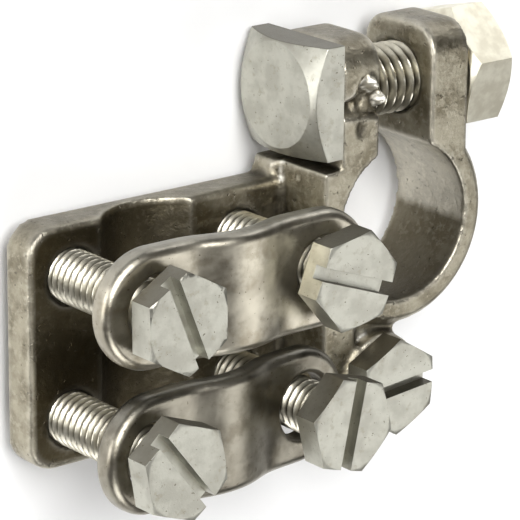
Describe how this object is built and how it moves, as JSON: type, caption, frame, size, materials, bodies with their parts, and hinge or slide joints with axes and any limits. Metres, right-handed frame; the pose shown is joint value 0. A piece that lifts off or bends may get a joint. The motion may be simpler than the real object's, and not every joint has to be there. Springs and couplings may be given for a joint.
{
  "type": "battery terminal clamp",
  "caption": "Cast battery post clamp: split ring closed by a square-head bolt, cable plate with two screwed bridging saddles, auxiliary terminal screw.",
  "frame": {"origin": "axis of the post bore, at the lower face of the ring", "axes": "+Z along the post bore, up off the battery; +Y from the bore towards the clamp bolt; the cable plate lies towards -X"},
  "size_m": [0.0631, 0.045, 0.0261],
  "materials": {
    "plated_brass": "nickel plated casting, satin",
    "bright_strap": "bright plated",
    "plated_steel": "satin plated"
  },
  "bodies": {
    "clamp_body": {"clamp_body": "plated_brass"},
    "clamp_bolt": {"clamp_bolt": "plated_steel"},
    "clamp_nut": {"clamp_nut": "plated_steel"},
    "saddle_upper": {"saddle_upper": "bright_strap"},
    "saddle_lower": {"saddle_lower": "bright_strap"},
    "screw_upper_left": {"screw_upper_left": "plated_steel"},
    "screw_upper_right": {"screw_upper_right": "plated_steel"},
    "screw_lower_left": {"screw_lower_left": "plated_steel"},
    "screw_lower_right": {"screw_lower_right": "plated_steel"},
    "aux_screw": {"aux_screw": "plated_steel"}
  },
  "joints": [
    {"name": "clamp_bolt_slide", "type": "slide", "parent": "clamp_body", "child": "clamp_bolt", "axis": [-1, 0, 0], "range_m": [0, 0.004]},
    {"name": "clamp_nut_turn", "type": "hinge", "parent": "clamp_body", "child": "clamp_nut", "pos_m": [0.0094, 0.0147, 0.0052], "axis": [1, 0, 0], "range_deg": [-1, 1153]},
    {"name": "saddle_upper_slide", "type": "slide", "parent": "clamp_body", "child": "saddle_upper", "axis": [0, 0, -1], "range_m": [-0.0015, 0.006]},
    {"name": "saddle_lower_slide", "type": "slide", "parent": "clamp_body", "child": "saddle_lower", "axis": [0, 0, -1], "range_m": [-0.0015, 0.006]},
    {"name": "screw_upper_left_turn", "type": "hinge", "parent": "saddle_upper", "child": "screw_upper_left", "pos_m": [-0.0393, -0.0005, 0.0209], "axis": [0, 0, -1], "range_deg": [-541, 2161]},
    {"name": "screw_upper_right_turn", "type": "hinge", "parent": "saddle_upper", "child": "screw_upper_right", "pos_m": [-0.0172, -0.00035, 0.0209], "axis": [0, 0, -1], "range_deg": [-541, 2161]},
    {"name": "screw_lower_left_turn", "type": "hinge", "parent": "saddle_lower", "child": "screw_lower_left", "pos_m": [-0.0395, -0.0163, 0.0209], "axis": [0, 0, -1], "range_deg": [-541, 2161]},
    {"name": "screw_lower_right_turn", "type": "hinge", "parent": "saddle_lower", "child": "screw_lower_right", "pos_m": [-0.0174, -0.0163, 0.0209], "axis": [0, 0, -1], "range_deg": [-541, 2161]},
    {"name": "aux_screw_turn", "type": "hinge", "parent": "clamp_body", "child": "aux_screw", "pos_m": [-0.0033, -0.0176, 0.0121], "axis": [0, 0, 1], "range_deg": [0, 720]}
  ],
  "couplings": [
    {"joint": "clamp_nut_turn", "follows": "clamp_bolt_slide", "rad_per_m": 5026.5},
    {"joint": "screw_upper_left_turn", "follows": "saddle_upper_slide", "rad_per_m": 6283.2},
    {"joint": "screw_upper_right_turn", "follows": "saddle_upper_slide", "rad_per_m": 6283.2},
    {"joint": "screw_lower_left_turn", "follows": "saddle_lower_slide", "rad_per_m": 6283.2},
    {"joint": "screw_lower_right_turn", "follows": "saddle_lower_slide", "rad_per_m": 6283.2}
  ]
}
